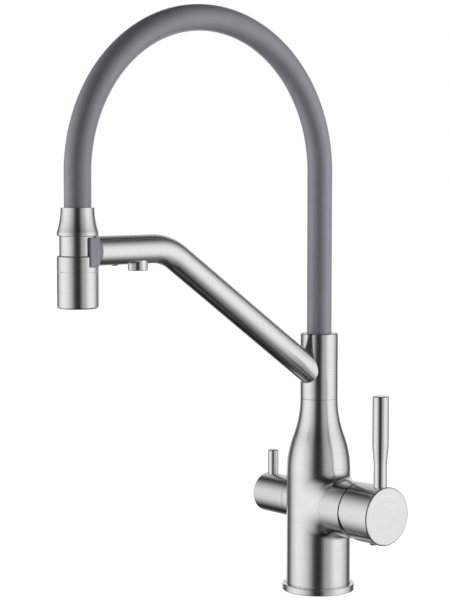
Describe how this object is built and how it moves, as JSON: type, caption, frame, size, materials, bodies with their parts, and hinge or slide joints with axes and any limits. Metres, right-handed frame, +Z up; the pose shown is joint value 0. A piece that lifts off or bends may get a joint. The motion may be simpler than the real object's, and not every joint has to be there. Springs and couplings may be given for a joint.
{
  "type": "kitchen mixer tap",
  "caption": "Kitchen mixer with a bottle-shaped body, mixer and filter levers at its sides, an arched soft hose over a docked spray head and a filtered-water nozzle under a swivel arm.",
  "frame": {"origin": "centre of the base on the deck, at the mouth of the hollow under the body", "axes": "+Z up along the body, -Y along the spout, +X towards the mixer handle, -X towards the filter handle"},
  "size_m": [0.1388, 0.2679, 0.448],
  "materials": {
    "steel": "satin, brushed round the axis",
    "brass": "turned",
    "silicone": "matt grey silicone",
    "dark_rubber": "matt",
    "ceramic": "lapped",
    "plastic": "moulded",
    "dark_plastic": "moulded",
    "dark_metal": "blackened"
  },
  "bodies": {
    "tap_body": {"body_shell": "steel", "base_ring": "steel", "base_gasket": "dark_rubber", "spigot": "brass", "spigot_o_rings": "dark_rubber", "swivel_washer": "plastic", "cartridge_seal": "dark_rubber", "cartridge_housing": "plastic", "fixed_disc": "ceramic", "cartridge_nut": "brass", "cartridge_dome": "dark_plastic", "filter_valve_body": "brass", "filter_valve_seal": "dark_rubber", "filter_fixed_disc": "ceramic"},
    "turntable": {"cartridge_turntable": "plastic", "tilt_pin": "steel"},
    "disc_slider": {"disc_carrier": "plastic", "moving_disc": "ceramic"},
    "mixer_handle": {"cartridge_spindle": "brass", "mixer_cap": "steel", "mixer_lever": "steel", "mixer_grub_screw": "dark_metal", "mixer_screw_plug": "dark_rubber"},
    "filter_handle": {"filter_spindle": "brass", "filter_disc": "ceramic", "filter_cap": "steel", "filter_lever": "steel", "filter_grub_screw": "dark_metal"},
    "spout": {"swivel_collar": "steel", "collar_bush": "plastic", "collar_set_screw": "dark_metal", "hose_nipple": "brass", "hose_retainer": "plastic", "spout_arm": "steel", "nozzle_tube": "plastic", "filter_nozzle": "steel", "nozzle_insert": "plastic", "head_clip": "silicone", "clip_screw": "dark_metal", "hose_sleeve": "silicone", "inner_hose": "plastic"},
    "spray_head": {"hose_ferrule": "steel", "hose_end_nipple": "brass", "head_body": "steel", "head_seal": "dark_rubber", "check_valve": "plastic", "outlet_sleeve": "steel", "aerator": "dark_plastic"}
  },
  "joints": [
    {"name": "spout_swivel", "type": "hinge", "parent": "tap_body", "child": "spout", "pos_m": [0, 0, 0.17], "axis": [0, 0, 1], "continuous": true},
    {"name": "spray_pull", "type": "slide", "parent": "spout", "child": "spray_head", "axis": [0, -1, 0], "range_m": [0, 0.045], "deforming": ["hose_sleeve", "inner_hose"]},
    {"name": "mixer_temperature", "type": "hinge", "parent": "tap_body", "child": "turntable", "pos_m": [0.0474, 0, 0.0685], "axis": [1, 0, 0], "range_deg": [-45, 45]},
    {"name": "mixer_flow", "type": "hinge", "parent": "turntable", "child": "mixer_handle", "pos_m": [0.0474, 0, 0.0685], "axis": [0, 1, 0], "range_deg": [0, 15]},
    {"name": "disc_slide", "type": "slide", "parent": "turntable", "child": "disc_slider", "axis": [0, 0, 1], "range_m": [0, 0.0049]},
    {"name": "filter_turn", "type": "hinge", "parent": "tap_body", "child": "filter_handle", "pos_m": [-0.04, 0, 0.0685], "axis": [1, 0, 0], "range_deg": [0, 90]}
  ],
  "couplings": [
    {"joint": "disc_slide", "follows": "mixer_flow", "m_per_rad": 0.018685}
  ]
}
